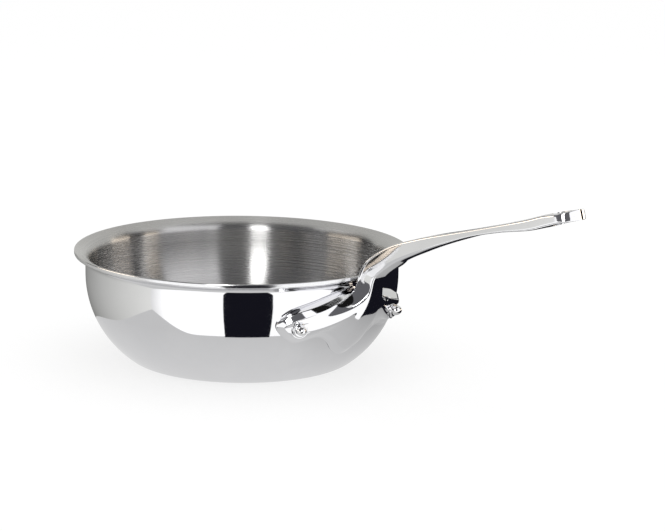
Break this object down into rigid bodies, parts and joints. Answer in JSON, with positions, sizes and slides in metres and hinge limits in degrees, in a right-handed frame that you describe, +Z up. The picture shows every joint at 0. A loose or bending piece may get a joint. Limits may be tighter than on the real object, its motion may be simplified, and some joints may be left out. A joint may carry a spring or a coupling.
{
  "type": "saute pan",
  "caption": "Clad steel saute pan with curved splayed sides, a flared pouring rim, a mirror-polished outside and one long cast handle riveted to the wall",
  "frame": {"origin": "middle of the base's underside, where the bowl's axis meets the surface the pan stands on", "axes": "+X runs out along the handle, +Z is up, +Y is to the right of someone who holds the handle"},
  "size_m": [0.3842, 0.215, 0.1372],
  "materials": {
    "mirror_steel": "mirror-polished magnetic stainless steel",
    "core_aluminium": "bare sheet, seen only at the cut rim",
    "satin_steel": "stainless steel brushed round the axis",
    "cast_steel": "cast stainless steel, polished bright",
    "rivet_steel": "polished stainless steel"
  },
  "bodies": {
    "root": {"outer_ply": "mirror_steel", "core_ply_lower": "core_aluminium", "core_ply_middle": "core_aluminium", "core_ply_upper": "core_aluminium", "inner_ply": "satin_steel", "handle": "cast_steel", "left_rivet": "rivet_steel", "right_rivet": "rivet_steel"}
  },
  "joints": []
}
